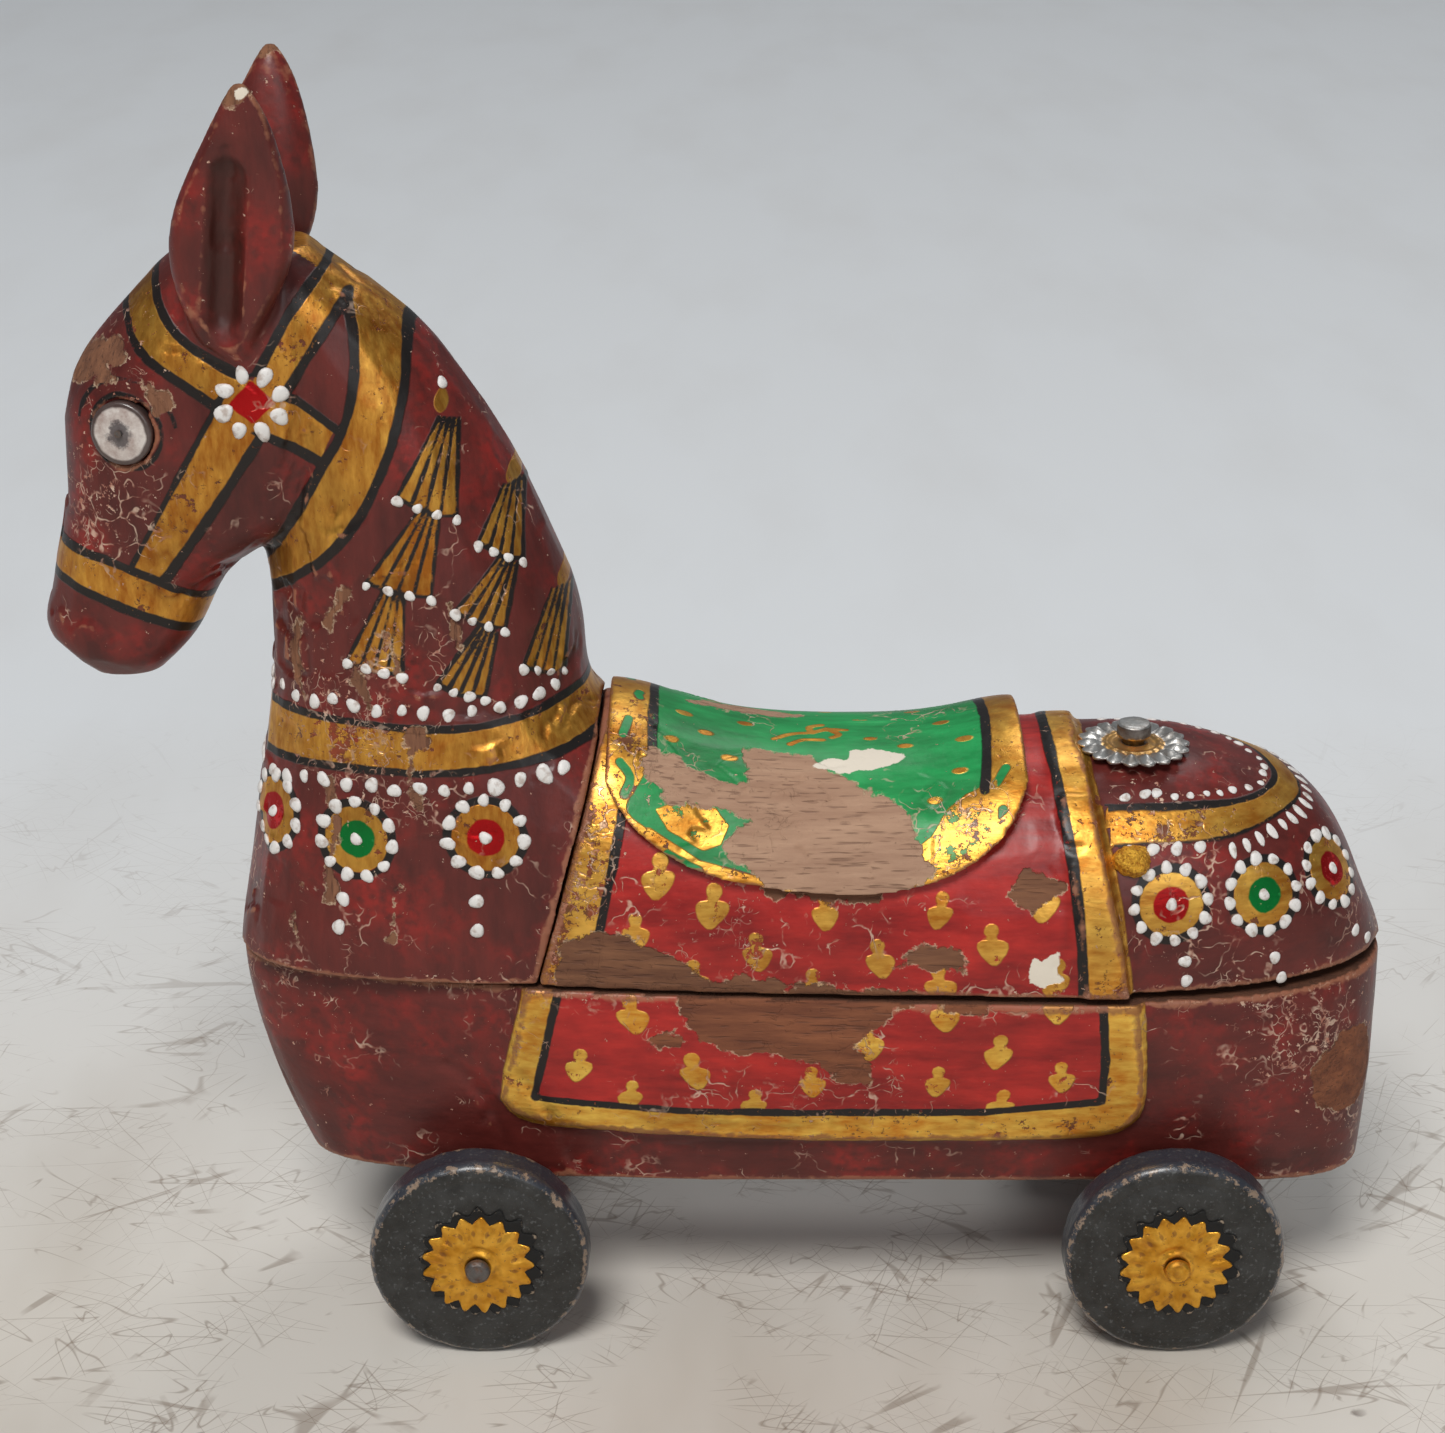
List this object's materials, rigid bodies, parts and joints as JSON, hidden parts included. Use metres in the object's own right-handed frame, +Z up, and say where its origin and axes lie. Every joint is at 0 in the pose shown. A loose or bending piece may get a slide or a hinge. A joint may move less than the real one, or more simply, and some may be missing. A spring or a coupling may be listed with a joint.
{
  "type": "pull along toy",
  "caption": "Carved wooden horse on turned wheels whose upper body swivels on a rump nail to open wells in the lower box.",
  "frame": {"origin": "on the floor, under the middle of the box that bounds the toy", "axes": "+Z up, the head looks along -X, the horse's left side faces -Y"},
  "size_m": [0.2722, 0.094, 0.2582],
  "materials": {
    "red_lacquer": "hand-painted oil lacquer, satin, worn",
    "green_lacquer": "hand-painted oil lacquer with gold border, worn to bare wood",
    "eye_white": "painted gesso disc, dull",
    "bare_wood": "unpainted, darkened with age",
    "black_lacquer": "turned wood, dull black paint worn at the rim",
    "gilt_sheet": "thin pressed sheet, gold painted",
    "iron": "forged iron, dark with a little rust"
  },
  "bodies": {
    "box": {"base_box": "red_lacquer", "pivot_pin": "iron", "bearer_nails": "iron", "front_bearer": "bare_wood", "rear_bearer": "bare_wood", "front_axle": "iron", "rear_axle": "iron"},
    "lid": {"lid_block": "red_lacquer", "saddle": "green_lacquer", "head_neck": "red_lacquer", "neck_dowels": "bare_wood", "eye_left": "eye_white", "eye_right": "eye_white", "eye_nail_left": "iron", "eye_nail_right": "iron", "strap_stud": "gilt_sheet", "pivot_rosette": "gilt_sheet"},
    "wheel_front_left_body": {"wheel_front_left": "black_lacquer", "rosette_front_left": "gilt_sheet"},
    "wheel_front_right_body": {"wheel_front_right": "black_lacquer", "rosette_front_right": "gilt_sheet"},
    "wheel_rear_left_body": {"wheel_rear_left": "black_lacquer", "rosette_rear_left": "gilt_sheet"},
    "wheel_rear_right_body": {"wheel_rear_right": "black_lacquer", "rosette_rear_right": "gilt_sheet"}
  },
  "joints": [
    {"name": "lid_swivel", "type": "hinge", "parent": "box", "child": "lid", "pos_m": [0.082, -0.005, 0.08], "axis": [0, 0, 1], "range_deg": [-180, 180]},
    {"name": "front_left_spin", "type": "hinge", "parent": "box", "child": "wheel_front_left_body", "pos_m": [-0.051, 0, 0.0226], "axis": [0, 1, 0], "continuous": true},
    {"name": "front_right_spin", "type": "hinge", "parent": "box", "child": "wheel_front_right_body", "pos_m": [-0.051, 0, 0.0226], "axis": [0, 1, 0], "continuous": true},
    {"name": "rear_left_spin", "type": "hinge", "parent": "box", "child": "wheel_rear_left_body", "pos_m": [0.0913, 0, 0.0226], "axis": [0, 1, 0], "continuous": true},
    {"name": "rear_right_spin", "type": "hinge", "parent": "box", "child": "wheel_rear_right_body", "pos_m": [0.0913, 0, 0.0226], "axis": [0, 1, 0], "continuous": true}
  ]
}
